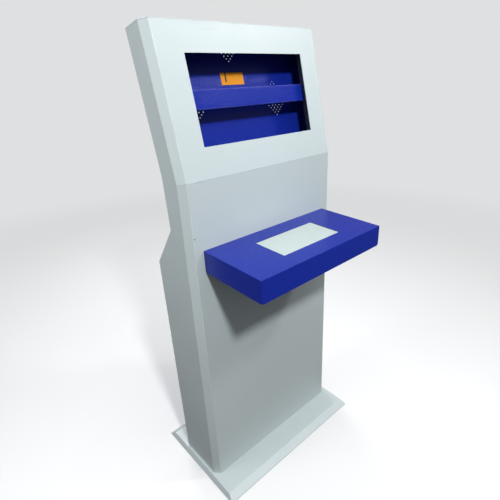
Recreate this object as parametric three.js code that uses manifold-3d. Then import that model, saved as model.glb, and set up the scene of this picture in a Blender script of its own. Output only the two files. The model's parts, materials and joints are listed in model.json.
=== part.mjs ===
// Free-standing sheet-metal information kiosk: a folded column with a leaning display head,
// a keyboard shelf, two service doors at the rear and a weighted floor base.
// Millimetres. +X is to the right of a person facing the kiosk, +Y points to its rear, +Z up.
// The origin is the centre of the base's underside, on the floor.
import * as THREE from 'three';
import { mergeVertices } from 'three/addons/utils/BufferGeometryUtils.js';
import Module from 'manifold-3d';

const wasm = await Module();
wasm.setup();

// ---------------------------------------------------------------- driving dimensions
const SHEET = 2; // wall of every folded steel panel
const GAP = 0.3; // seam between neighbouring pieces
const OVERSHOOT = 5; // how far a cutting tool runs past the wall it cuts

const BASE_WIDTH = 734;
const BASE_DEPTH = 484;
const BASE_HEIGHT = 22;
const BASE_LIP = 3; // upright edge at the floor, below the slopes
const BASE_SLOPE_X = 10; // how far the side slopes run in
const BASE_SLOPE_Y = 30; // how far the front and rear slopes run in
const BALLAST_THICKNESS = 6;

const COLUMN_WIDTH = 694;
const COLUMN_DEPTH = 226;
const CHAMFER_X = 20.5; // front corner chamfer, measured across the front
const CHAMFER_Y = 25; // the same chamfer, measured along the side

const CREASE_Z = 1297; // where the head starts to lean back
const HEAD_TILT = THREE.MathUtils.degToRad(12.4);
const HEAD_LENGTH = 460; // along the slope, from the crease to the top
const HEAD_DEPTH = 107; // square to the slope
const HEAD_KINK = 29; // the head's rear face ends this far up the slope
const NECK_Y = -10; // rear of the narrow neck
const NECK_Z = 1125;
const SHOULDER_Z = 968; // below this the column has its full depth

const OPENING_WIDTH = 484; // display opening, sized for a 22 inch wide panel
const OPENING_HEIGHT = 272;
const OPENING_LOW = 98; // its lower edge, up the slope from the crease
const OPENING_SHIFT = 3.5; // its centre, right of the column's centre

const SHELF_WIDTH = 588;
const SHELF_REACH = 289; // forward of the column's front face
const SHELF_TOP = 1066;
const SHELF_HEIGHT = 80;
const PLATE_WIDTH = 277; // keyboard cut-out in the shelf top
const PLATE_DEPTH = 144;
const PLATE_SETBACK = 73; // from the column to the cut-out's rear edge
const PLATE_SHIFT = 5; // its centre, right of the column's centre
const PLATE_LAP = 4; // how far the plate runs under the shelf top
const PLATE_THICKNESS = 2.5;

const JAMB_WIDTH = 22; // door landing along each side panel's rear edge
const JAMB_RECESS = 5; // from the rear outline to the landing's inner face
const JAMB_MARGIN = 4; // the landing stops this far inside the door's ends
const DOOR_INSET = 4.5; // from the column's outer side to the door's edge
const DOOR_LIP = 12; // depth of a door's stiffening lips
const DOOR_SEAM = 1.5; // open seam above and below a door
const HEAD_DOOR_LOW = 36; // up the slope
const HEAD_DOOR_HIGH = 456.5;
const LOWER_DOOR_LOW = 64;
const LOWER_DOOR_HIGH = 957;

const BARREL_RADIUS = 4; // weld-on lift-off hinges
const BARREL_LENGTH = 24;
const BARREL_STANDOFF = 4.7; // hinge axis behind the door's outer face
const PIN_RADIUS = 2.5;
const PIN_BORE_RADIUS = 2.8;
const HEAD_HINGE_HEIGHTS = [110, 385];
const LOWER_HINGE_HEIGHTS = [180, 850];

const LOCK_X = -305;
const HEAD_LOCK_HEIGHT = 246;
const LOWER_LOCK_HEIGHT = 510;
const LOCK_BODY_RADIUS = 8;
const LOCK_FLANGE_RADIUS = 11;
const LOCK_BORE_RADIUS = 6.3;
const LOCK_PLUG_RADIUS = 6;
const LOCK_PROUD = 2.3; // the flange stands this far out of the door
const PLUG_SINK = 0.4; // the plug's face, behind the flange's
const CAM_LENGTH = 34;
const CAM_HALF_WIDTH = 6.5;
const CAM_THICKNESS = 2.5;
const KEYWAY = [1.6, 7.5]; // width and height of the key slot

// ---------------------------------------------------------------- derived places
const frontY = -COLUMN_DEPTH / 2;
const rearY = COLUMN_DEPTH / 2;
const halfColumn = COLUMN_WIDTH / 2;
const halfFront = halfColumn - CHAMFER_X;
const insideX = halfColumn - SHEET;
const doorHalf = halfColumn - DOOR_INSET;
const hingeX = doorHalf + 1;
const columnFloor = BASE_HEIGHT + GAP;
const miterSlope = Math.tan(HEAD_TILT / 2);
const headFrame = new THREE.Matrix4().makeRotationX(-HEAD_TILT).setPosition(0, frontY, CREASE_Z);

// ---------------------------------------------------------------- materials
function finish(color, roughness, metalness) {
  return new THREE.MeshStandardMaterial({ color, roughness, metalness });
}
const greyPaint = finish(0xc9d2d3, 0.45, 0.1);
const bluePaint = finish(0x1d2f9e, 0.42, 0.1);
const zincSteel = finish(0x9da1a4, 0.4, 0.8);
const darkSteel = finish(0x4a4d50, 0.6, 0.7);
const paleLaminate = finish(0xdfe9e0, 0.5, 0);
const orangePlastic = finish(0xf08a1c, 0.5, 0);
const blackPlastic = finish(0x17181a, 0.55, 0);

// ---------------------------------------------------------------- solids
function toSolid(geometry) {
  const bare = geometry.clone();
  bare.deleteAttribute('normal');
  bare.deleteAttribute('uv');
  const merged = mergeVertices(bare, 1e-4);
  return new wasm.Manifold(new wasm.Mesh({
    numProp: 3,
    vertProperties: new Float32Array(merged.attributes.position.array),
    triVerts: new Uint32Array(merged.index.array),
  }));
}

function toGeometry(solid) {
  const mesh = solid.getMesh();
  const geometry = new THREE.BufferGeometry();
  geometry.setAttribute('position', new THREE.BufferAttribute(mesh.vertProperties, 3));
  geometry.setIndex(new THREE.BufferAttribute(mesh.triVerts, 1));
  geometry.computeVertexNormals();
  return geometry;
}

// A block between two opposite corners.
function block(low, high) {
  const size = high.map((value, i) => value - low[i]);
  const middle = high.map((value, i) => (value + low[i]) / 2);
  return toSolid(new THREE.BoxGeometry(...size).translate(...middle));
}

// A block that is the same on both sides of the centre plane.
function centredBlock(halfWidth, low, high) {
  return block([-halfWidth, ...low], [halfWidth, ...high]);
}

// An outline in the YZ plane, extruded from one x to another.
const acrossColumn = new THREE.Matrix4().set(0, 0, 1, 0, 1, 0, 0, 0, 0, 1, 0, 0, 0, 0, 0, 1);
function sideExtrusion(points, fromX, toX) {
  const shape = new THREE.Shape(points.map(([y, z]) => new THREE.Vector2(y, z)));
  const geometry = new THREE.ExtrudeGeometry(shape, { depth: toX - fromX, bevelEnabled: false });
  return toSolid(geometry.applyMatrix4(acrossColumn).translate(fromX, 0, 0));
}

// An outline in the XY plane, extruded from one z to another.
function planExtrusion(points, fromZ, toZ) {
  const shape = new THREE.Shape(points.map(([x, y]) => new THREE.Vector2(x, y)));
  const geometry = new THREE.ExtrudeGeometry(shape, { depth: toZ - fromZ, bevelEnabled: false });
  return toSolid(geometry.translate(0, 0, fromZ));
}

// A round bar along an axis, from one value of that axis to another.
function bar(axis, radius, [a, b], from, to, sides = 20) {
  const geometry = new THREE.CylinderGeometry(radius, radius, to - from, sides);
  geometry.translate(0, (from + to) / 2, 0);
  if (axis === 'z') {
    geometry.rotateX(Math.PI / 2).translate(a, b, 0);
  } else {
    geometry.translate(a, 0, b);
  }
  return toSolid(geometry);
}

function join(solids) {
  return solids.reduce((whole, next) => whole.add(next));
}

function cut(solid, tools) {
  return tools.reduce((rest, tool) => rest.subtract(tool), solid);
}

function mirrored(points) {
  return points.map(([x, y]) => [-x, y]).reverse();
}

// Where a point of the head, given up the slope and into the head, lies in the YZ plane.
function headPoint(upSlope, intoHead) {
  const point = new THREE.Vector3(0, intoHead, upSlope).applyMatrix4(headFrame);
  return [point.y, point.z];
}

// A polyline moved sideways by a distance, with its corners mitred.
function offsetLine(points, distance) {
  const normals = points.slice(1).map(([y, z], i) => {
    const dy = y - points[i][0];
    const dz = z - points[i][1];
    const length = Math.hypot(dy, dz);
    return [-dz / length, dy / length];
  });
  return points.map(([y, z], i) => {
    const before = normals[Math.max(i - 1, 0)];
    const after = normals[Math.min(i, normals.length - 1)];
    const scale = distance / (1 + before[0] * after[0] + before[1] * after[1]);
    return [y + (before[0] + after[0]) * scale, z + (before[1] + after[1]) * scale];
  });
}

// ---------------------------------------------------------------- scene graph
const kiosk = new THREE.Group();
const head = new THREE.Group();
head.applyMatrix4(headFrame);
kiosk.add(head);

function place(name, solid, material, group = kiosk) {
  const mesh = new THREE.Mesh(toGeometry(solid), material);
  mesh.name = name;
  group.add(mesh);
}

// ---------------------------------------------------------------- base
const FOOT_BOLT_X = 318;
const FOOT_BOLT_Y = 62;
const FOOT_BOLT_RADIUS = 4;
const ANCHOR_X = 352.5;
const ANCHOR_Y = 95;
const ANCHOR_RADIUS = 2.5;
const ANCHOR_HEAD_RADIUS = 4;
const ANCHOR_HEAD_HEIGHT = 2.2;
const SCREW_END_Z = BALLAST_THICKNESS + 2; // base screws and foot bolts stop above the ballast
const HOLE_CLEARANCE = 0.5;
const BALLAST_INSET_X = 5; // the ballast stays clear of the slopes
const BALLAST_INSET_Y = 10;

// The base's outside, or its inside when a skin's thickness is taken off: a flat top that slopes
// down on all four sides to a low upright lip.
function baseBlock(skin, floor) {
  const halfX = BASE_WIDTH / 2 - skin;
  const halfY = BASE_DEPTH / 2 - skin;
  const topX = BASE_WIDTH / 2 - BASE_SLOPE_X - skin / 2;
  const topY = BASE_DEPTH / 2 - BASE_SLOPE_Y - skin / 2;
  const lip = centredBlock(halfX, [-halfY, floor], [halfY, BASE_LIP - skin / 2]);
  const top = centredBlock(topX, [-topY, floor], [topY, BASE_HEIGHT - skin]);
  return join([lip, top]).hull();
}

function makeBase() {
  const holes = [];
  for (const side of [-1, 1]) {
    for (const end of [-1, 1]) {
      const spot = [side * FOOT_BOLT_X, end * FOOT_BOLT_Y];
      holes.push(bar('z', FOOT_BOLT_RADIUS + HOLE_CLEARANCE, spot, 0, BASE_HEIGHT + OVERSHOOT));
    }
    const anchor = [side * ANCHOR_X, ANCHOR_Y];
    holes.push(bar('z', ANCHOR_RADIUS + HOLE_CLEARANCE, anchor, 0, BASE_HEIGHT + OVERSHOOT));
  }
  const hollow = baseBlock(SHEET, -OVERSHOOT);
  place('base_tray', cut(baseBlock(0, 0), [hollow, ...holes]), greyPaint);

  const plateX = BASE_WIDTH / 2 - BALLAST_INSET_X;
  const plateY = BASE_DEPTH / 2 - BALLAST_INSET_Y;
  const ballast = centredBlock(plateX, [-plateY, 0], [plateY, BALLAST_THICKNESS]);
  place('base_ballast_plate', ballast, darkSteel);

  for (const [name, side] of [['left', -1], ['right', 1]]) {
    const spot = [side * ANCHOR_X, ANCHOR_Y];
    const seat = BASE_HEIGHT + GAP;
    const screw = join([
      bar('z', ANCHOR_HEAD_RADIUS, spot, seat, seat + ANCHOR_HEAD_HEIGHT),
      bar('z', ANCHOR_RADIUS, spot, SCREW_END_Z, seat + ANCHOR_HEAD_HEIGHT / 2),
    ]);
    place(`base_screw_${name}`, screw, zincSteel);
  }
}

// Angles inside the column that bolt it down to the base.
function makeColumnFeet() {
  const legTop = columnFloor + SHEET;
  const legInner = 296;
  const legOuter = insideX - GAP;
  const uprightHeight = 50;
  const legHalfLength = 82;
  const boltHeadHeight = 5.3;
  const boltHeadRadius = 7.5;
  const boltSeat = legTop + GAP;
  for (const [name, side] of [['left', -1], ['right', 1]]) {
    const xs = (a, b) => [Math.min(side * a, side * b), Math.max(side * a, side * b)];
    const [legLow, legHigh] = xs(legInner, legOuter);
    const [webLow, webHigh] = xs(legOuter - SHEET, legOuter);
    const leg = block([legLow, -legHalfLength, columnFloor], [legHigh, legHalfLength, legTop]);
    const web = block(
      [webLow, -legHalfLength, columnFloor],
      [webHigh, legHalfLength, columnFloor + uprightHeight],
    );
    const holes = [-1, 1].map((end) => bar(
      'z',
      FOOT_BOLT_RADIUS + HOLE_CLEARANCE,
      [side * FOOT_BOLT_X, end * FOOT_BOLT_Y],
      columnFloor - OVERSHOOT,
      legTop + OVERSHOOT,
    ));
    place(`column_foot_${name}`, cut(leg.add(web), holes), zincSteel);
    for (const [endName, end] of [['front', -1], ['rear', 1]]) {
      const spot = [side * FOOT_BOLT_X, end * FOOT_BOLT_Y];
      const bolt = join([
        bar('z', boltHeadRadius, spot, boltSeat, boltSeat + boltHeadHeight, 6),
        bar('z', FOOT_BOLT_RADIUS, spot, SCREW_END_Z, boltSeat + boltHeadHeight / 2),
      ]);
      place(`foot_bolt_${name}_${endName}`, bolt, zincSteel);
    }
  }
}

// ---------------------------------------------------------------- grey enclosure
const SLOT_WIDTH = 90; // keyboard cable slot, hidden by the shelf
const SLOT_HEIGHT = 28;
const SLOT_Z = 1028;
const RIVET_HOLE_X = -321.5; // small rivet hole beside the left bend, above the shelf
const RIVET_HOLE_Z = 1114.5;
const RIVET_HOLE_RADIUS = 2.5;

// Plan outline of the folded front: a flat with a chamfered flange at each side.
function foldedFrontOutline() {
  const wallX = (SHEET * Math.hypot(CHAMFER_X, CHAMFER_Y)) / CHAMFER_Y;
  const innerCorner = halfFront + (CHAMFER_X * SHEET) / CHAMFER_Y - wallX;
  const right = [
    [halfFront, 0],
    [halfColumn, CHAMFER_Y],
    [halfColumn - wallX, CHAMFER_Y],
    [innerCorner, SHEET],
  ];
  return [...right, ...mirrored(right)];
}

// The space beyond the fold line between the column and the head; side is +1 above, -1 below.
function beyondFold(slope, side) {
  const near = -OVERSHOOT;
  const far = HEAD_DEPTH;
  const reach = side * HEAD_DEPTH;
  const seam = (side * -GAP) / 2;
  const points = [
    [near, near * slope + seam],
    [far, far * slope + seam],
    [far, reach],
    [near, reach],
  ];
  const outline = side > 0 ? points : points.reverse();
  return sideExtrusion(outline, -halfColumn - OVERSHOOT, halfColumn + OVERSHOOT);
}

function makeFrontPanel() {
  const sheet = planExtrusion(foldedFrontOutline(), columnFloor - CREASE_Z, 2 * OVERSHOOT);
  const slot = block(
    [-SLOT_WIDTH / 2, -OVERSHOOT, SLOT_Z - SLOT_HEIGHT / 2 - CREASE_Z],
    [SLOT_WIDTH / 2, OVERSHOOT, SLOT_Z + SLOT_HEIGHT / 2 - CREASE_Z],
  );
  const holeSpot = [RIVET_HOLE_X, RIVET_HOLE_Z - CREASE_Z];
  const hole = bar('y', RIVET_HOLE_RADIUS, holeSpot, -OVERSHOOT, OVERSHOOT, 12);
  const panel = cut(sheet, [beyondFold(-miterSlope, 1), slot, hole]);
  place('lower_front_panel', panel.translate([0, frontY, CREASE_Z]), greyPaint);
}

function makeHeadBezel() {
  const sheet = planExtrusion(foldedFrontOutline(), -2 * OVERSHOOT, HEAD_LENGTH - SHEET - GAP);
  const opening = block(
    [OPENING_SHIFT - OPENING_WIDTH / 2, -OVERSHOOT, OPENING_LOW],
    [OPENING_SHIFT + OPENING_WIDTH / 2, OVERSHOOT, OPENING_LOW + OPENING_HEIGHT],
  );
  place('head_bezel', cut(sheet, [beyondFold(miterSlope, -1), opening]), greyPaint, head);
}

function makeTopPanel() {
  const right = [
    [halfFront, 0],
    [halfColumn, CHAMFER_Y],
    [halfColumn, HEAD_DEPTH],
  ];
  const outline = [...right, ...mirrored(right)];
  place('head_top_panel', planExtrusion(outline, HEAD_LENGTH - SHEET, HEAD_LENGTH), greyPaint, head);
}

function makeSidePanels() {
  const edge = CHAMFER_Y + GAP;
  const top = HEAD_LENGTH - SHEET - GAP;
  const outline = [
    [frontY + edge, columnFloor],
    [rearY, columnFloor],
    [rearY, SHOULDER_Z],
    [NECK_Y, NECK_Z],
    headPoint(HEAD_KINK, HEAD_DEPTH),
    headPoint(top, HEAD_DEPTH),
    headPoint(top, edge),
    [frontY + edge, CREASE_Z - edge * miterSlope],
  ];
  for (const [name, side] of [['left', -1], ['right', 1]]) {
    const outerX = side * halfColumn;
    const innerX = side * insideX;
    const jambX = side * (insideX - JAMB_WIDTH);
    const web = sideExtrusion(outline, Math.min(outerX, innerX), Math.max(outerX, innerX));
    const lowX = Math.min(outerX, jambX);
    const highX = Math.max(outerX, jambX);
    const headJamb = block(
      [lowX, HEAD_DEPTH - JAMB_RECESS, HEAD_DOOR_LOW + JAMB_MARGIN],
      [highX, HEAD_DEPTH - JAMB_RECESS + SHEET, HEAD_DOOR_HIGH - JAMB_MARGIN],
    ).transform(headFrame.elements);
    const lowerJamb = block(
      [lowX, rearY - JAMB_RECESS, LOWER_DOOR_LOW + JAMB_MARGIN],
      [highX, rearY - JAMB_RECESS + SHEET, LOWER_DOOR_HIGH - JAMB_MARGIN],
    );
    place(`side_panel_${name}`, join([web, headJamb, lowerJamb]), greyPaint);
  }
}

// ---------------------------------------------------------------- blue rear panels
const NOTCH_WIDTH = 60; // cable outlet under the lower door
const NOTCH_HEIGHT = 26;
const NOTCH_X = 200;

function makeFixedRearPanels() {
  const halfPanel = insideX - GAP;
  const outer = [
    headPoint(HEAD_DOOR_LOW - DOOR_SEAM, HEAD_DEPTH),
    headPoint(HEAD_KINK, HEAD_DEPTH),
    [NECK_Y, NECK_Z],
    [rearY, SHOULDER_Z],
    [rearY, LOWER_DOOR_HIGH + DOOR_SEAM],
  ];
  const skin = [...offsetLine(outer, -GAP), ...offsetLine(outer, -GAP - SHEET).reverse()];
  place('neck_rear_panel', sideExtrusion(skin, -halfPanel, halfPanel), bluePaint);

  const sill = centredBlock(
    halfPanel,
    [rearY - GAP - SHEET, columnFloor],
    [rearY - GAP, LOWER_DOOR_LOW - DOOR_SEAM],
  );
  const notch = block(
    [NOTCH_X - NOTCH_WIDTH / 2, rearY - 2 * OVERSHOOT, 0],
    [NOTCH_X + NOTCH_WIDTH / 2, rearY + OVERSHOOT, columnFloor + NOTCH_HEIGHT],
  );
  place('lower_rear_sill', sill.subtract(notch), bluePaint);
}

// A service door in the plane y = outer face: a skin with lips at its top, bottom and hinge side.
function doorSolid(outerFace, low, high, lockHeight) {
  const skinInner = outerFace - SHEET;
  const lipInner = skinInner - DOOR_LIP;
  const lipX = insideX - JAMB_WIDTH - JAMB_MARGIN;
  const lipInset = 8;
  const solid = join([
    centredBlock(doorHalf, [skinInner, low], [outerFace, high]),
    centredBlock(lipX, [lipInner, high - lipInset - SHEET], [skinInner + 1, high - lipInset]),
    centredBlock(lipX, [lipInner, low + lipInset], [skinInner + 1, low + lipInset + SHEET]),
    block([lipX - SHEET, lipInner, low + lipInset], [lipX, skinInner + 1, high - lipInset]),
  ]);
  const lockSpot = [LOCK_X, lockHeight];
  const lockRadius = LOCK_BODY_RADIUS + GAP;
  const hole = bar('y', lockRadius, lockSpot, skinInner - OVERSHOOT, outerFace + OVERSHOOT);
  return solid.subtract(hole);
}

// ---------------------------------------------------------------- hinges and locks
const HINGE_LEAF_REACH = 26; // from the hinge axis across the door
const PIN_END = 3; // the pin stops this far below the leaf's top
const KNUCKLE_TAB = 1.8; // strip that welds a fixed knuckle to the side panel

function makeHinge(prefix, outerFace, height, group) {
  const axisY = outerFace + BARREL_STANDOFF;
  const spot = [hingeX, axisY];
  const top = height + BARREL_LENGTH;
  const fixed = join([
    bar('z', BARREL_RADIUS, spot, height - BARREL_LENGTH, height, 24),
    bar('z', PIN_RADIUS, spot, height - OVERSHOOT, top - PIN_END, 24),
    block(
      [insideX - GAP - KNUCKLE_TAB, outerFace - SHEET, height - BARREL_LENGTH],
      [insideX - GAP, axisY, height - 1],
    ),
  ]);
  place(`${prefix}_pin_knuckle`, fixed, zincSteel, group);

  const leaf = block(
    [hingeX - HINGE_LEAF_REACH, outerFace + GAP, height + GAP],
    [hingeX - 1, outerFace + GAP + SHEET, top],
  );
  const tube = bar('z', BARREL_RADIUS, spot, height + GAP, top, 24);
  const bore = bar('z', PIN_BORE_RADIUS, spot, height - OVERSHOOT, top + OVERSHOOT, 24);
  place(`${prefix}_leaf_knuckle`, leaf.add(tube).subtract(bore), zincSteel, group);
}

function makeLock(prefix, outerFace, lockHeight, group) {
  const spot = [LOCK_X, lockHeight];
  const bodyInner = outerFace - JAMB_RECESS - 0.2;
  const face = outerFace + LOCK_PROUD;
  const body = join([
    bar('y', LOCK_BODY_RADIUS, spot, bodyInner, outerFace + 1, 24),
    bar('y', LOCK_FLANGE_RADIUS, spot, outerFace + GAP, face, 24),
  ]);
  const bore = bar('y', LOCK_BORE_RADIUS, spot, bodyInner - OVERSHOOT, face + OVERSHOOT, 24);
  place(`${prefix}_lock_body`, body.subtract(bore), zincSteel, group);

  const plugInner = bodyInner - 0.5;
  const keyway = block(
    [LOCK_X - KEYWAY[0] / 2, face - OVERSHOOT, lockHeight - KEYWAY[1] / 2],
    [LOCK_X + KEYWAY[0] / 2, face + OVERSHOOT, lockHeight + KEYWAY[1] / 2],
  );
  const plug = bar('y', LOCK_PLUG_RADIUS, spot, plugInner, face - PLUG_SINK, 24).subtract(keyway);
  place(`${prefix}_lock_plug`, plug, zincSteel, group);

  const camOuter = plugInner - GAP;
  const cam = block(
    [LOCK_X - CAM_HALF_WIDTH, camOuter - CAM_THICKNESS, lockHeight - CAM_HALF_WIDTH],
    [LOCK_X + CAM_HALF_WIDTH, camOuter, lockHeight + CAM_LENGTH],
  );
  place(`${prefix}_lock_cam`, cam, zincSteel, group);
}

function makeDoors() {
  const upper = doorSolid(HEAD_DEPTH, HEAD_DOOR_LOW, HEAD_DOOR_HIGH, HEAD_LOCK_HEIGHT);
  place('head_rear_door', upper, bluePaint, head);
  HEAD_HINGE_HEIGHTS.forEach((height, i) => {
    makeHinge(`head_hinge_${i + 1}`, HEAD_DEPTH, height, head);
  });
  makeLock('head', HEAD_DEPTH, HEAD_LOCK_HEIGHT, head);

  const lower = doorSolid(rearY, LOWER_DOOR_LOW, LOWER_DOOR_HIGH, LOWER_LOCK_HEIGHT);
  place('lower_rear_door', lower, bluePaint);
  LOWER_HINGE_HEIGHTS.forEach((height, i) => {
    makeHinge(`lower_hinge_${i + 1}`, rearY, height, kiosk);
  });
  makeLock('lower', rearY, LOWER_LOCK_HEIGHT, kiosk);
}

// ---------------------------------------------------------------- display mounting
const RAIL_MARGIN = 19; // from the opening's edge to the rail's web
const RAIL_REACH = 39; // the web's rear edge, behind the bezel's face
const RAIL_FLANGE = 22;
const RAIL_LOW = 84;
const RAIL_HIGH = 384;
const CROSSBAR_FACE = 28; // behind the bezel's face
const CROSSBAR_LOW = 210;
const CROSSBAR_HIGH = 271;
const CROSSBAR_LIP = 10;
const LEDGE_HIGH = 92;
const LEDGE_FLANGE = 18;

function makeDisplayMount() {
  const back = SHEET + GAP;
  const railInner = OPENING_WIDTH / 2 + RAIL_MARGIN;
  for (const [name, side] of [['left', -1], ['right', 1]]) {
    const web = [OPENING_SHIFT + side * railInner, OPENING_SHIFT + side * (railInner + SHEET)];
    const tip = OPENING_SHIFT + side * (railInner + RAIL_FLANGE);
    const rail = join([
      block([Math.min(...web), back, RAIL_LOW], [Math.max(...web), RAIL_REACH, RAIL_HIGH]),
      block(
        [Math.min(web[0], tip), back, RAIL_LOW],
        [Math.max(web[0], tip), back + SHEET, RAIL_HIGH],
      ),
    ]);
    place(`display_rail_${name}`, rail, zincSteel, head);
  }

  const lowX = OPENING_SHIFT - railInner + GAP;
  const highX = OPENING_SHIFT + railInner - GAP;
  const channelRear = CROSSBAR_FACE + CROSSBAR_LIP;
  const channel = block(
    [lowX, CROSSBAR_FACE, CROSSBAR_LOW],
    [highX, channelRear, CROSSBAR_HIGH],
  );
  const trough = block(
    [lowX - OVERSHOOT, CROSSBAR_FACE + SHEET, CROSSBAR_LOW + SHEET],
    [highX + OVERSHOOT, channelRear + OVERSHOOT, CROSSBAR_HIGH - SHEET],
  );
  place('display_crossbar', channel.subtract(trough), bluePaint, head);

  const ledge = join([
    block([lowX, back, LEDGE_HIGH - SHEET], [highX, RAIL_REACH, LEDGE_HIGH]),
    block([lowX, back, LEDGE_HIGH - LEDGE_FLANGE], [highX, back + SHEET, LEDGE_HIGH]),
  ]);
  place('display_ledge', ledge, zincSteel, head);
}

const TAG_SIDES = [-52, 45.5];
const TAG_HEIGHTS = [292.5, 333];
const TAG_THICKNESS = 1;
const STRAP_SIDES = [-35, -29.5];
const STRAP_LOW = 302;
const STRAP_THICKNESS = 0.8;

// A blank inspection tag on the inside of the head's door, held by a strap.
function makeTag() {
  const tagBack = HEAD_DEPTH - SHEET - GAP;
  const tagFace = tagBack - TAG_THICKNESS;
  const tag = block(
    [TAG_SIDES[0], tagFace, TAG_HEIGHTS[0]],
    [TAG_SIDES[1], tagBack, TAG_HEIGHTS[1]],
  );
  place('inspection_tag', tag, orangePlastic, head);
  const strapBack = tagFace - GAP;
  const strap = block(
    [STRAP_SIDES[0], strapBack - STRAP_THICKNESS, STRAP_LOW],
    [STRAP_SIDES[1], strapBack, TAG_HEIGHTS[1]],
  );
  place('tag_strap', strap, blackPlastic, head);
}

// ---------------------------------------------------------------- keyboard shelf
const BRACKET_X = 215;
const BRACKET_WALL = 3;
const BRACKET_FLANGE = 28;
const BRACKET_TIP_HEIGHT = 18;
const BRACKET_TIP_INSET = 30; // from the shelf's front to the arm's tip
const BRACKET_LIFT = 6; // from the shelf's lower edge to the arm's
const COVER_RECESS = 1; // the bottom cover, above the shelf's lower edge

function makeShelf() {
  const half = SHELF_WIDTH / 2;
  const rear = frontY - GAP;
  const front = frontY - SHELF_REACH;
  const low = SHELF_TOP - SHELF_HEIGHT;
  const shell = centredBlock(half, [front, low], [rear, SHELF_TOP]);
  const hollow = centredBlock(
    half - SHEET,
    [front + SHEET, low - OVERSHOOT],
    [rear - SHEET, SHELF_TOP - SHEET],
  );
  const plateRear = frontY - PLATE_SETBACK;
  const plateFront = plateRear - PLATE_DEPTH;
  const plateLeft = PLATE_SHIFT - PLATE_WIDTH / 2;
  const plateRight = PLATE_SHIFT + PLATE_WIDTH / 2;
  const cutOut = block(
    [plateLeft, plateFront, SHELF_TOP - OVERSHOOT],
    [plateRight, plateRear, SHELF_TOP + OVERSHOOT],
  );
  const slot = block(
    [-SLOT_WIDTH / 2, rear - OVERSHOOT, SLOT_Z - SLOT_HEIGHT / 2],
    [SLOT_WIDTH / 2, rear + OVERSHOOT, SLOT_Z + SLOT_HEIGHT / 2],
  );
  place('shelf_tray', cut(shell, [hollow, cutOut, slot]), bluePaint);

  const coverInset = SHEET + GAP;
  const coverLow = low + COVER_RECESS;
  const cover = centredBlock(
    half - coverInset,
    [front + coverInset, coverLow],
    [rear - coverInset, coverLow + SHEET],
  );
  place('shelf_bottom_cover', cover, bluePaint);

  const plateTop = SHELF_TOP - SHEET - GAP;
  const plate = block(
    [plateLeft - PLATE_LAP, plateFront - PLATE_LAP, plateTop - PLATE_THICKNESS],
    [plateRight + PLATE_LAP, plateRear + PLATE_LAP, plateTop],
  );
  place('keyboard_plate', plate, paleLaminate);
}

// Cantilever arms inside the shelf, bolted through its rear wall to the column.
function makeShelfBrackets() {
  const rear = frontY - GAP - SHEET - GAP;
  const tip = frontY - SHELF_REACH + BRACKET_TIP_INSET;
  const low = SHELF_TOP - SHELF_HEIGHT + BRACKET_LIFT;
  const high = SHELF_TOP - SHEET - GAP;
  for (const [name, side] of [['left', -1], ['right', 1]]) {
    const x = side * BRACKET_X;
    const arm = sideExtrusion(
      [[rear, low], [rear, high], [tip, high], [tip, high - BRACKET_TIP_HEIGHT]],
      x - BRACKET_WALL / 2,
      x + BRACKET_WALL / 2,
    );
    const flange = block(
      [x - BRACKET_FLANGE / 2, rear - BRACKET_WALL, low],
      [x + BRACKET_FLANGE / 2, rear, high],
    );
    place(`shelf_bracket_${name}`, arm.add(flange), zincSteel);
  }
}

// ---------------------------------------------------------------- equipment shelf
const EQUIPMENT_Z = 520;
const EQUIPMENT_LIP = 22; // folded edge along the shelf's rear
const EQUIPMENT_SIDE_PLAY = 3;
const EQUIPMENT_FRONT_PLAY = 3; // from the column's chamfers
const EQUIPMENT_REAR_PLAY = 25; // clear of the door's lips and the lock's cam
const ANGLE_LEG = 26;
const ANGLE_DROP = 28;
const ANGLE_INSET = 12; // the angles stop this far inside the shelf's ends

function makeEquipmentShelf() {
  const front = frontY + CHAMFER_Y + EQUIPMENT_FRONT_PLAY;
  const rear = rearY - EQUIPMENT_REAR_PLAY;
  const bracketOuter = insideX - GAP;
  const legInner = bracketOuter - ANGLE_LEG;
  const bracketTop = EQUIPMENT_Z - SHEET - GAP;
  for (const [name, side] of [['left', -1], ['right', 1]]) {
    const web = [side * bracketOuter, side * (bracketOuter - SHEET)];
    const tip = side * legInner;
    const bracket = join([
      block(
        [Math.min(...web), front + ANGLE_INSET, bracketTop - ANGLE_DROP],
        [Math.max(...web), rear - ANGLE_INSET, bracketTop],
      ),
      block(
        [Math.min(web[0], tip), front + ANGLE_INSET, bracketTop - SHEET],
        [Math.max(web[0], tip), rear - ANGLE_INSET, bracketTop],
      ),
    ]);
    place(`equipment_bracket_${name}`, bracket, zincSteel);
  }
  const half = bracketOuter - EQUIPMENT_SIDE_PLAY;
  const tray = join([
    centredBlock(half, [front, EQUIPMENT_Z - SHEET], [rear, EQUIPMENT_Z]),
    centredBlock(half, [rear - SHEET, EQUIPMENT_Z - EQUIPMENT_LIP], [rear, EQUIPMENT_Z]),
  ]);
  place('equipment_shelf', tray, zincSteel);
}

makeBase();
makeColumnFeet();
makeFrontPanel();
makeHeadBezel();
makeTopPanel();
makeSidePanels();
makeFixedRearPanels();
makeDoors();
makeDisplayMount();
makeTag();
makeShelf();
makeShelfBrackets();
makeEquipmentShelf();

export default kiosk;
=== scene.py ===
# Sheet-metal information kiosk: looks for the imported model, in metres.
# +X is to the right of a person facing the kiosk, +Y to its rear, +Z up, origin on the floor.
import json
import math

import bmesh
import bpy
from mathutils import Matrix, Quaternion, Vector


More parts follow.
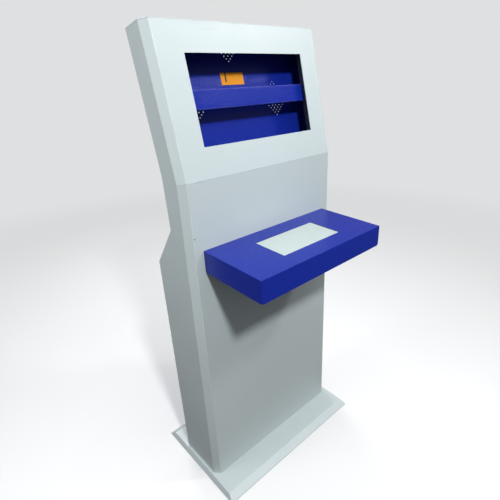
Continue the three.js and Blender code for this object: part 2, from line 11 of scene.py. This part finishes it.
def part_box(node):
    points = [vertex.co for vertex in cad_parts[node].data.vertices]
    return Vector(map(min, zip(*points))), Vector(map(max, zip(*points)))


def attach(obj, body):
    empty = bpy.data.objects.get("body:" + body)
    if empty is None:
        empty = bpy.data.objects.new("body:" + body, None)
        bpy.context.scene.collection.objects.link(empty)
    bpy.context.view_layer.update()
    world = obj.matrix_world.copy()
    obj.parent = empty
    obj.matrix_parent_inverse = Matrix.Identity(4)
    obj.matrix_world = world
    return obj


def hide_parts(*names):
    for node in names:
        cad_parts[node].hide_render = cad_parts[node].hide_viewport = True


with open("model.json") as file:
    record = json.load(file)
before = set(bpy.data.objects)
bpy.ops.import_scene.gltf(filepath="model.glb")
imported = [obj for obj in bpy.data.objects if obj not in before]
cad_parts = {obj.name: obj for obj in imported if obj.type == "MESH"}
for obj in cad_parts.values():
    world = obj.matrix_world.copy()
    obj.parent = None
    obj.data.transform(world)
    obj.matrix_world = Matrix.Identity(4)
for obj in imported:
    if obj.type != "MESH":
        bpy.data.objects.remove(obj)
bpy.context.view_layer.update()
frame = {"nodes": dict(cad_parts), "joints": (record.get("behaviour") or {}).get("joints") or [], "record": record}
nodes = frame["nodes"]
body_of = {
    name: body
    for body, names in frame["record"]["behaviour"]["bodies"].items()
    for name in names
}
MM = 0.001

# ---------------------------------------------------------------- mesh sizes
OUTER_BEND = 3.2 * MM  # outside radius of a fold in the 2 mm sheet
INNER_BEND = 1.2 * MM
FOLD_STEPS = 5  # facets across a fold
SHEET_EDGE = 0.25 * MM  # softening of cut edges
SCREW_EDGE = 0.45 * MM  # softening of the base screws' heads
EDGE_STEPS = 2  # facets across a softened edge
BROAD_FACE = 5 * MM  # faces wider than this are walls, narrower ones are cut edges
MERGE_GAP = 0.001 * MM  # points closer than this are one
FLAT_ANGLE = math.radians(0.3)  # faces that meet at less than this are one
FOLD_ANGLE = math.radians(8)  # walls that meet at more than this are folded
SHARP_ANGLE = math.radians(35)  # edges that turn more than this are softened
NORMAL_WEIGHT = 80  # how far the broad faces win over the small ones in the shading

SHELF_CORNER = 7 * MM  # radius of the shelf's lower corners
CORNER_STEPS = 8
CUT_MARGIN = 1 * MM  # how far a cutter stands outside the sheet
BEND_MARGIN = 0.5 * MM  # how far a corner's cut goes past the bend behind it

RECESS_LENGTH = 5 * MM  # the cross recess in a base screw
RECESS_WIDTH = 1.1 * MM
RECESS_DEPTH = 1.3 * MM

VENT_PITCH = 12.1 * MM
VENT_RADIUS = 2.0 * MM
VENT_SIDES = 16
VENT_CUT = 12 * MM  # length of a hole's cutter
VENT_GROUPS = (  # middle (across, up the slope) and rows of each group
    ((-182 * MM, 237.5 * MM), 8),
    ((182 * MM, 237.5 * MM), 8),
    ((-3 * MM, 404 * MM), 5),
)

# ---------------------------------------------------------------- which nodes are folded sheet
SHEET_SLOTS = ("grey_powder_coat", "blue_powder_coat")
SHEET_WORDS = ("rail", "ledge", "bracket", "foot", "equipment_shelf")
SMALL_WORDS = ("bolt", "screw", "hinge", "lock")

# ---------------------------------------------------------------- stage
TINT = (1.0, 1.01, 1.02)  # faint cool cast of the surroundings
BACKDROP = 0.74  # brightness that the camera sees behind the kiosk
SKY = (  # height, from 0 straight down to 1 straight up, and the room's brightness there
    (0.0, 0.1),
    (0.45, 0.12),
    (0.55, 0.26),
    (0.75, 0.36),
    (1.0, 0.55),
)
FLOOR_FADE = 0.9  # the floor is solid up to this radius
FLOOR_END = 4.5  # and has faded out at this one
FLOOR_SIDES = 96
FLOOR_TONES = ((0.66, 0.665, 0.67), (0.69, 0.695, 0.70))
LIGHTS = (  # name, place, the point it faces, diameter, watts
    ("lamp", (-1.0, -2.6, 3.5), (0, -0.1, 1.1), 0.34, 116),
    ("ceiling", (0.5, -1.2, 3.2), (0, -0.2, 0.6), 1.5, 14),
    ("window", (1.75, -1.65, 3.0), (0, -0.05, 1.5), 0.35, 26),
    ("rear_fill", (0.7, 2.5, 2.3), (0, 0.1, 1.0), 1.4, 40),
    ("side_fill", (-1.7, 0.45, 1.75), (-0.3, 0, 1.1), 0.9, 12),
)

# ---------------------------------------------------------------- camera
CAMERA_PLACE = (-0.92404, -1.16301, 1.62384)
CAMERA_HEADING = math.radians(-44.666)  # turn from +Y, negative to the right
CAMERA_PITCH = math.radians(-24.076)  # looking down
CAMERA_ROLL = math.radians(0.594)
SENSOR_WIDTH = 36
FOCAL_LENGTH = 28.754
SHIFT_X = -0.08324
SHIFT_Y = -0.01437

# ---------------------------------------------------------------- the head's own axes
joints = {joint["name"]: joint for joint in frame["joints"]}
up_slope = -Vector(joints["head_door_hinge"]["axis"]).normalized()
into_head = -Vector(joints["head_lock_turn"]["axis"]).normalized()
front_low, front_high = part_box("lower_front_panel")
crease = Vector((0, front_low.y, front_high.z))
HEAD = Matrix((
    (1, into_head.x, up_slope.x, crease.x),
    (0, into_head.y, up_slope.y, crease.y),
    (0, into_head.z, up_slope.z, crease.z),
    (0, 0, 0, 1),
))


# ---------------------------------------------------------------- node materials
def scaled(colour, factor):
    return tuple(min(1.0, channel * factor) for channel in colour)


class Recipe:
    """A material's node tree, built one node at a time."""

    def __init__(self, name, metallic=0.0, specular=0.5):
        self.material = bpy.data.materials.new(name)
        self.material.use_nodes = True
        self.tree = self.material.node_tree
        self.shader = self.tree.nodes["Principled BSDF"]
        self.shader.inputs["Metallic"].default_value = metallic
        self.shader.inputs["Specular IOR Level"].default_value = specular
        self.place = self.tree.nodes.new("ShaderNodeTexCoord").outputs["Object"]
        self.normal = None

    def link(self, source, target):
        self.tree.links.new(source, target)

    def stretched(self, scale):
        """Object coordinates, scaled by a different amount along each axis."""
        node = self.tree.nodes.new("ShaderNodeMapping")
        node.inputs["Scale"].default_value = scale
        self.link(self.place, node.inputs["Vector"])
        return node.outputs["Vector"]

    def noise(self, scale, detail, where=None):
        node = self.tree.nodes.new("ShaderNodeTexNoise")
        node.inputs["Scale"].default_value = scale
        node.inputs["Detail"].default_value = detail
        self.link(where or self.place, node.inputs["Vector"])
        return node.outputs["Fac"]

    def cells(self, scale):
        node = self.tree.nodes.new("ShaderNodeTexVoronoi")
        node.inputs["Scale"].default_value = scale
        self.link(self.place, node.inputs["Vector"])
        return node.outputs["Distance"]

    def remap(self, value, low, high, to_low=0, to_high=1):
        """to_low where the value is at low or less, to_high where it is at high or more."""
        node = self.tree.nodes.new("ShaderNodeMapRange")
        self.link(value, node.inputs["Value"])
        node.inputs["From Min"].default_value = low
        node.inputs["From Max"].default_value = high
        node.inputs["To Min"].default_value = to_low
        node.inputs["To Max"].default_value = to_high
        return node.outputs["Result"]

    def patches(self, scale, detail, low=0.3, high=0.7, to_low=0, to_high=1, where=None):
        """Noise, remapped."""
        return self.remap(self.noise(scale, detail, where), low, high, to_low, to_high)

    def times(self, value, factor):
        """A value multiplied by a number or by another value."""
        node = self.tree.nodes.new("ShaderNodeMath")
        node.operation = "MULTIPLY"
        self.link(value, node.inputs[0])
        if isinstance(factor, float):
            node.inputs[1].default_value = factor
        else:
            self.link(factor, node.inputs[1])
        return node.outputs["Value"]

    def blend(self, amount, first, second):
        """first where amount is 0 and second where it is 1; each is a colour or a colour output."""
        node = self.tree.nodes.new("ShaderNodeMix")
        node.data_type = "RGBA"
        self.link(amount, node.inputs["Factor"])
        colour_in = [socket for socket in node.inputs if socket.type == "RGBA"]
        for socket, value in zip(colour_in, (first, second)):
            if isinstance(value, tuple):
                socket.default_value = (*value, 1)
            else:
                self.link(value, socket)
        return next(socket for socket in node.outputs if socket.type == "RGBA")

    def bevelled(self):
        """1 on folds and cut edges, 0 on flat walls."""
        node = self.tree.nodes.new("ShaderNodeAttribute")
        node.attribute_name = "bevelled"
        return node.outputs["Fac"]

    def bump(self, source, height, strength):
        """A bump of a height in metres, on top of the bumps already there."""
        node = self.tree.nodes.new("ShaderNodeBump")
        node.inputs["Distance"].default_value = height
        node.inputs["Strength"].default_value = strength
        self.link(source, node.inputs["Height"])
        if self.normal is not None:
            self.link(self.normal, node.inputs["Normal"])
        self.normal = node.outputs["Normal"]
        self.link(self.normal, self.shader.inputs["Normal"])

    def finish(self, tone, gloss):
        self.link(tone, self.shader.inputs["Base Color"])
        self.link(gloss, self.shader.inputs["Roughness"])
        return self.material


def powder_coat(name, colour, grain, peel, rough, specular, fleck_and_glint):
    """Textured paint: orange peel over a finer grain, lighter flecks that are grain and painted glints, faint
    clouding, scuffs, and lighter folds and cut edges that are thin paint and a painted highlight.
    """
    m = Recipe(name, specular=specular)
    darker = scaled(colour, 0.955)
    lighter = scaled(colour, 1.035)
    scuffed = scaled(colour, 0.72)
    # lighter colour for folds and cut edges: thinner paint there, made brighter to also paint the highlight that
    # the bends catch
    edge_lighter = tuple(channel * 1.15 + 0.06 for channel in colour)
    tone = m.blend(m.patches(scale=3.5, detail=4), darker, lighter)
    # lighter flecks: the coat's grain and painted glints, standing in for light caught by its texture
    specks_and_glints = m.patches(scale=grain * 1.7, detail=2, low=0.35, high=0.65)
    tone = m.blend(specks_and_glints, tone, scaled(colour, fleck_and_glint))
    level_streaks = m.stretched((9, 9, 60))
    scuffs = m.patches(scale=1, detail=4, low=0.66, high=0.74, to_high=0.22, where=level_streaks)
    tone = m.blend(scuffs, tone, scuffed)
    # painted highlight mixed with rubbed paint, over the folds and cut edges
    rubbing_and_highlight = m.patches(scale=45, detail=4, low=0.4, high=0.62, to_low=0.15, to_high=0.6)
    tone = m.blend(m.times(m.bevelled(), rubbing_and_highlight), tone, edge_lighter)
    gloss = m.patches(scale=16, detail=3, to_low=rough - 0.05, to_high=rough + 0.06)
    m.bump(m.noise(scale=grain, detail=2), height=1.1 * MM, strength=peel)
    m.bump(m.noise(scale=grain * 3.2, detail=1), height=0.2 * MM, strength=peel * 0.6)
    return m.finish(tone, gloss)


def zinc_plate():
    """Plated steel: small spangle, a faint yellow passivation tint and rubbed edges."""
    m = Recipe("zinc_plate", metallic=0.9)
    zinc = (0.56, 0.575, 0.585)
    darker = scaled(zinc, 0.86)
    lighter = scaled(zinc, 1.08)
    yellowed = (zinc[0], zinc[1] * 0.94, zinc[2] * 0.78)
    edge_lighter = scaled(zinc, 1.2)
    spangle = m.remap(m.cells(scale=140), low=0, high=0.8)
    tone = m.blend(spangle, darker, lighter)
    tint = m.patches(scale=22, detail=4, low=0.45, high=0.75, to_high=0.35)
    tone = m.blend(tint, tone, yellowed)
    tone = m.blend(m.times(m.bevelled(), 0.4), tone, edge_lighter)
    gloss = m.patches(scale=60, detail=4, to_low=0.29, to_high=0.46)
    m.bump(m.noise(scale=900, detail=2), height=0.1 * MM, strength=0.25)
    m.bump(m.noise(scale=40, detail=3), height=0.3 * MM, strength=0.1)
    return m.finish(tone, gloss)


def bright_nickel():
    m = Recipe("bright_nickel", metallic=1.0)
    bright = (0.74, 0.73, 0.7)
    smudged = (0.58, 0.57, 0.54)
    tone = m.blend(m.patches(scale=180, detail=4, low=0.4), bright, smudged)
    gloss = m.patches(scale=260, detail=3, to_low=0.14, to_high=0.32)
    m.bump(m.noise(scale=1500, detail=1), height=0.05 * MM, strength=0.2)
    return m.finish(tone, gloss)


def mill_steel():
    m = Recipe("mill_scale_steel", metallic=0.7)
    mill_scale = (0.1, 0.105, 0.11)
    bare = (0.2, 0.2, 0.2)
    rust = (0.16, 0.07, 0.03)
    tone = m.blend(m.patches(scale=14, detail=5, low=0.35, high=0.65), mill_scale, bare)
    rusting = m.patches(scale=30, detail=5, low=0.6, high=0.72, to_high=0.6)
    tone = m.blend(rusting, tone, rust)
    gloss = m.patches(scale=50, detail=4, to_low=0.5, to_high=0.75)
    m.bump(m.noise(scale=400, detail=4), height=0.3 * MM, strength=0.3)
    return m.finish(tone, gloss)


def pale_laminate():
    m = Recipe("pale_laminate", specular=0.45)
    darker = (0.37, 0.435, 0.43)
    lighter = (0.41, 0.475, 0.465)
    smeared = (0.34, 0.4, 0.39)
    tone = m.blend(m.patches(scale=420, detail=3), darker, lighter)
    smears = m.patches(scale=12, detail=5, low=0.5, high=0.75, to_high=0.3)
    tone = m.blend(smears, tone, smeared)
    gloss = m.patches(scale=25, detail=4, to_low=0.34, to_high=0.5)
    m.bump(m.noise(scale=700, detail=2), height=0.12 * MM, strength=0.3)
    return m.finish(tone, gloss)


def orange_card():
    m = Recipe("orange_card", specular=0.2)
    darker = (0.56, 0.215, 0.008)
    lighter = (0.66, 0.26, 0.012)
    fibres = m.patches(scale=1, detail=4, where=m.stretched((300, 300, 900)))
    tone = m.blend(fibres, darker, lighter)
    gloss = m.patches(scale=90, detail=3, to_low=0.42, to_high=0.58)
    m.bump(m.noise(scale=1100, detail=2), height=0.08 * MM, strength=0.3)
    return m.finish(tone, gloss)


def black_nylon():
    m = Recipe("black_nylon", specular=0.2)
    darker = (0.012, 0.012, 0.014)
    lighter = (0.035, 0.034, 0.036)
    wave = m.tree.nodes.new("ShaderNodeTexWave")
    wave.bands_direction = "Z"
    wave.inputs["Scale"].default_value = 260
    m.link(m.place, wave.inputs["Vector"])
    ribs = wave.outputs["Fac"]
    tone = m.blend(ribs, darker, lighter)
    gloss = m.patches(scale=300, detail=3, to_low=0.45, to_high=0.65)
    m.bump(ribs, height=0.15 * MM, strength=0.5)
    return m.finish(tone, gloss)


finishes = {
    "grey_powder_coat": powder_coat(
        "grey_powder_coat",
        colour=(0.412, 0.47, 0.48),
        grain=400,
        peel=0.1,
        rough=0.42,
        specular=0.45,
        fleck_and_glint=1.04,
    ),
    "blue_powder_coat": powder_coat(
        "blue_powder_coat",
        colour=(0.005, 0.0155, 0.205),
        grain=260,
        peel=0.8,
        rough=0.2,
        specular=0.22,
        fleck_and_glint=1.35,
    ),
    "zinc_plated_steel": zinc_plate(),
    "lock_chrome": bright_nickel(),
    "mill_steel": mill_steel(),
    "pale_laminate": pale_laminate(),
    "orange_plastic": orange_card(),
    "black_plastic": black_nylon(),
}
slot_of = {row["node"]: row["material_slot"] for row in frame["record"]["subparts"]}
for node in ("display_rail_left", "display_rail_right", "display_ledge"):
    slot_of[node] = "mill_steel"  # painted shade: these sit in shade inside the head, so they take the dark mill-scale finish


# ---------------------------------------------------------------- mesh helpers
def mesh_object(bm, name):
    mesh = bpy.data.meshes.new(name)
    bm.to_mesh(mesh)
    bm.free()
    thing = bpy.data.objects.new(name, mesh)
    bpy.context.scene.collection.objects.link(thing)
    return thing


def width_across(face):
    return face.calc_area() / max(edge.calc_length() for edge in face.edges)


def fold_groups(bm, bevelled):
    """Edges between two broad walls, grouped by how sharply and which way they fold."""
    groups = {}
    for edge in bm.edges:
        if len(edge.link_faces) != 2 or any(face[bevelled] for face in edge.link_faces):
            continue
        angle = edge.calc_face_angle()
        if angle < FOLD_ANGLE or min(map(width_across, edge.link_faces)) < BROAD_FACE:
            continue
        groups.setdefault((round(angle, 2), edge.is_convex), []).append(edge)
    return groups


def round_edges(bm, edges, offset, steps, bevelled):
    made = bmesh.ops.bevel(
        bm,
        geom=edges,
        offset=offset,
        segments=steps,
        profile=0.5,
        affect="EDGES",
        clamp_overlap=True,
    )
    for face in made["faces"]:
        face[bevelled] = 1.0


def rounded_mesh(bm, folded, edge):
    """Rounds a closed mesh: folds by their bend radius, every other sharp edge by a hair."""
    bmesh.ops.remove_doubles(bm, verts=bm.verts, dist=MERGE_GAP)
    bmesh.ops.dissolve_limit(bm, angle_limit=FLAT_ANGLE, verts=bm.verts, edges=bm.edges)
    bmesh.ops.recalc_face_normals(bm, faces=bm.faces)
    bevelled = bm.faces.layers.float.new("bevelled")
    if folded:
        for angle, convex in sorted(fold_groups(bm, bevelled)):
            edges = fold_groups(bm, bevelled).get((angle, convex), [])
            radius = OUTER_BEND if convex else INNER_BEND
            round_edges(bm, edges, radius * math.tan(angle / 2), FOLD_STEPS, bevelled)
    sharp = [
        side
        for side in bm.edges
        if len(side.link_faces) == 2 and side.calc_face_angle() > SHARP_ANGLE
    ]
    round_edges(bm, sharp, edge, EDGE_STEPS, bevelled)
    for face in bm.faces:
        face.smooth = not folded or face[bevelled] > 0


def cut_mesh(node, cutters):
    """A node's mesh with closed cutter objects taken out of it; the cutters are removed."""
    bm = bmesh.new()
    bm.from_mesh(nodes[node].data)
    bmesh.ops.remove_doubles(bm, verts=bm.verts, dist=MERGE_GAP)
    blank = mesh_object(bm, "blank")
    for cutter in cutters:
        boolean = blank.modifiers.new("cut", "BOOLEAN")
        boolean.operation = "DIFFERENCE"
        boolean.solver = "EXACT"
        boolean.object = cutter
    depsgraph = bpy.context.evaluated_depsgraph_get()
    mesh = bpy.data.meshes.new_from_object(blank.evaluated_get(depsgraph))
    for spent in (blank, *cutters):
        bpy.data.objects.remove(spent)
    return mesh


def hand_over(piece, node):
    """The piece stands for a CAD node: it rides the node's body and takes the node's finish."""
    slot = slot_of[node]
    piece.data.materials.append(finishes[slot])
    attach(piece, body_of[node])
    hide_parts(node)


def refine(node, folded, cutters, edge):
    """A node's shape with real bend radii and softened edges, after any cutters are taken out."""
    bm = bmesh.new()
    bm.from_mesh(cut_mesh(node, cutters) if cutters else nodes[node].data)
    rounded_mesh(bm, folded, edge)
    piece = mesh_object(bm, f"{node}_formed")
    shade = piece.modifiers.new("weighted_normals", "WEIGHTED_NORMAL")
    shade.keep_sharp = False
    shade.weight = NORMAL_WEIGHT
    hand_over(piece, node)


# ---------------------------------------------------------------- cutters
def vent_cutters(door_face):
    """Round holes on square grids turned to stand on a corner, through the head's rear door."""
    bm = bmesh.new()
    half_pitch = VENT_PITCH / math.sqrt(2)
    upright = Matrix.Rotation(math.pi / 2, 4, "X")  # turns a cone's axis into the head
    for (across, up), rows in VENT_GROUPS:
        for i in range(rows):
            for j in range(rows):
                x = across + (i - j) * half_pitch
                u = up + (i + j - (rows - 1)) * half_pitch
                bmesh.ops.create_cone(
                    bm,
                    cap_ends=True,
                    segments=VENT_SIDES,
                    radius1=VENT_RADIUS,
                    radius2=VENT_RADIUS,
                    depth=VENT_CUT,
                    matrix=HEAD @ Matrix.Translation((x, door_face, u)) @ upright,
                )
    return [mesh_object(bm, "vent_cutters")]


def corner_cutter(axis, corner, inward, through):
    """The sliver left outside a rounded lower corner: a prism across a wall's thickness.

    axis is the wall's own axis ("X" or "Y"), corner its lowest point (along that axis, z),
    inward +1 or -1 along the axis, and through the prism's two places square to the wall.
    """
    bm = bmesh.new()
    along, low = corner
    turns = [math.pi / 2 * k / CORNER_STEPS for k in range(CORNER_STEPS + 1)]
    radius = SHELF_CORNER
    arc = [(radius - radius * math.sin(turn), radius - radius * math.cos(turn)) for turn in turns]
    outline = [(-CUT_MARGIN, -CUT_MARGIN), (radius, -CUT_MARGIN), *arc, (-CUT_MARGIN, radius)]
    rings = []
    for place in through:
        points = [(along + inward * a, low + z) for a, z in outline]
        spots = [(a, place, z) if axis == "X" else (place, a, z) for a, z in points]
        rings.append([bm.verts.new(spot) for spot in spots])
    first, last = rings
    bm.faces.new(first)
    bm.faces.new(last[::-1])
    for k, start in enumerate(first):
        after = (k + 1) % len(first)
        bm.faces.new((start, first[after], last[after], last[k]))
    bmesh.ops.recalc_face_normals(bm, faces=bm.faces)
    return mesh_object(bm, "corner_cutter")


def shelf_corner_cutters():
    """Rounds the lower corners of the shelf's front wall and of its two side walls."""
    low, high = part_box("shelf_tray")
    skin = OUTER_BEND + BEND_MARGIN
    front_wall = (low.y - CUT_MARGIN, low.y + skin)
    cutters = []
    for x, inward in ((low.x, 1), (high.x, -1)):
        side_wall = sorted((x - inward * CUT_MARGIN, x + inward * skin))
        cutters.append(corner_cutter("X", (x, low.z), inward, front_wall))
        cutters.append(corner_cutter("Y", (low.y, low.z), 1, side_wall))
        cutters.append(corner_cutter("Y", (high.y, low.z), -1, side_wall))
    return cutters


def recess_cutters(node):
    """Two crossed bars that leave a cross recess in the top of a screw's head."""
    low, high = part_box(node)
    top = Vector(((low.x + high.x) / 2, (low.y + high.y) / 2, high.z))
    cutters = []
    for length, width in ((RECESS_LENGTH, RECESS_WIDTH), (RECESS_WIDTH, RECESS_LENGTH)):
        bm = bmesh.new()
        size = Matrix.Diagonal((length, width, 2 * RECESS_DEPTH, 1))
        bmesh.ops.create_cube(bm, size=1, matrix=Matrix.Translation(top) @ size)
        cutters.append(mesh_object(bm, "recess_cutter"))
    return cutters


# ---------------------------------------------------------------- the kiosk's pieces
def make_pieces():
    into = HEAD.inverted()
    door_face = max((into @ point.co).y for point in nodes["head_rear_door"].data.vertices)
    for node in sorted(nodes):
        sheet = slot_of[node] in SHEET_SLOTS or any(word in node for word in SHEET_WORDS)
        small = any(word in node for word in SMALL_WORDS)
        edge = SHEET_EDGE
        cutters = []
        if node == "shelf_tray":
            cutters = shelf_corner_cutters()
        elif node == "head_rear_door":
            cutters = vent_cutters(door_face)
        elif "base_screw" in node:
            cutters = recess_cutters(node)
            edge = SCREW_EDGE
        refine(node, sheet and not small, cutters, edge)


# ---------------------------------------------------------------- stage, lights and camera
def make_floor():
    """A pale floor that fades out into the surroundings, well away from the kiosk."""
    bm = bmesh.new()
    bmesh.ops.create_circle(bm, cap_ends=True, segments=FLOOR_SIDES, radius=FLOOR_END)
    floor = mesh_object(bm, "studio_floor")
    m = Recipe("studio_floor", specular=0.2)
    tone = m.blend(m.noise(scale=0.8, detail=3), *FLOOR_TONES)
    m.finish(tone, m.patches(scale=6, detail=3, to_low=0.6, to_high=0.75))
    radius = m.tree.nodes.new("ShaderNodeVectorMath")
    radius.operation = "LENGTH"
    m.link(m.place, radius.inputs[0])
    solid = m.remap(radius.outputs["Value"], FLOOR_FADE, FLOOR_END, to_low=1, to_high=0)
    m.link(solid, m.shader.inputs["Alpha"])
    floor.data.materials.append(m.material)
    floor.visible_diffuse = False
    floor.visible_glossy = False


def area_light(name, place, aim, size, power):
    light = bpy.data.lights.new(name, "AREA")
    light.shape = "DISK"
    light.size = size
    light.energy = power
    lamp = bpy.data.objects.new(name, light)
    lamp.location = place
    lamp.rotation_mode = "QUATERNION"
    lamp.rotation_quaternion = (Vector(aim) - Vector(place)).to_track_quat("-Z", "Y")
    lamp.visible_camera = False
    bpy.context.scene.collection.objects.link(lamp)


def tinted(level):
    return (*(level * channel for channel in TINT), 1)


def make_world():
    """A plain backdrop for the camera, and a room, brighter overhead, that lights the kiosk."""
    world = bpy.data.worlds.new("studio")
    bpy.context.scene.world = world
    world.use_nodes = True
    tree = world.node_tree
    room = tree.nodes["Background"]
    output = tree.nodes["World Output"]
    direction = tree.nodes.new("ShaderNodeTexCoord")
    split = tree.nodes.new("ShaderNodeSeparateXYZ")
    height = tree.nodes.new("ShaderNodeMapRange")
    height.inputs["From Min"].default_value = -1
    ramp = tree.nodes.new("ShaderNodeValToRGB")
    tree.links.new(direction.outputs["Generated"], split.inputs["Vector"])
    tree.links.new(split.outputs["Z"], height.inputs["Value"])
    tree.links.new(height.outputs["Result"], ramp.inputs["Fac"])
    stops = ramp.color_ramp.elements
    for position, level in SKY:
        stop = stops.new(position)
        stop.color = tinted(level)
    stops.remove(stops[0])
    stops.remove(stops[-1])
    tree.links.new(ramp.outputs["Color"], room.inputs["Color"])
    backdrop = tree.nodes.new("ShaderNodeBackground")
    backdrop.inputs["Color"].default_value = tinted(BACKDROP)
    seen = tree.nodes.new("ShaderNodeLightPath")
    choice = tree.nodes.new("ShaderNodeMixShader")
    tree.links.new(seen.outputs["Is Camera Ray"], choice.inputs["Fac"])
    tree.links.new(room.outputs["Background"], choice.inputs[1])
    tree.links.new(backdrop.outputs["Background"], choice.inputs[2])
    tree.links.new(choice.outputs["Shader"], output.inputs["Surface"])


def make_camera():
    look = Vector((
        -math.sin(CAMERA_HEADING) * math.cos(CAMERA_PITCH),
        math.cos(CAMERA_HEADING) * math.cos(CAMERA_PITCH),
        math.sin(CAMERA_PITCH),
    ))
    camera = bpy.data.objects.new("camera", bpy.data.cameras.new("camera"))
    camera.data.sensor_width = SENSOR_WIDTH
    camera.data.lens = FOCAL_LENGTH
    camera.data.shift_x = SHIFT_X
    camera.data.shift_y = SHIFT_Y
    camera.location = CAMERA_PLACE
    camera.rotation_mode = "QUATERNION"
    level = look.to_track_quat("-Z", "Y")
    camera.rotation_quaternion = level @ Quaternion((0, 0, 1), -CAMERA_ROLL)
    bpy.context.scene.collection.objects.link(camera)
    bpy.context.scene.camera = camera


make_pieces()
make_floor()
make_world()
for light_row in LIGHTS:
    area_light(*light_row)
make_camera()
bpy.context.scene.view_settings.view_transform = "Standard"
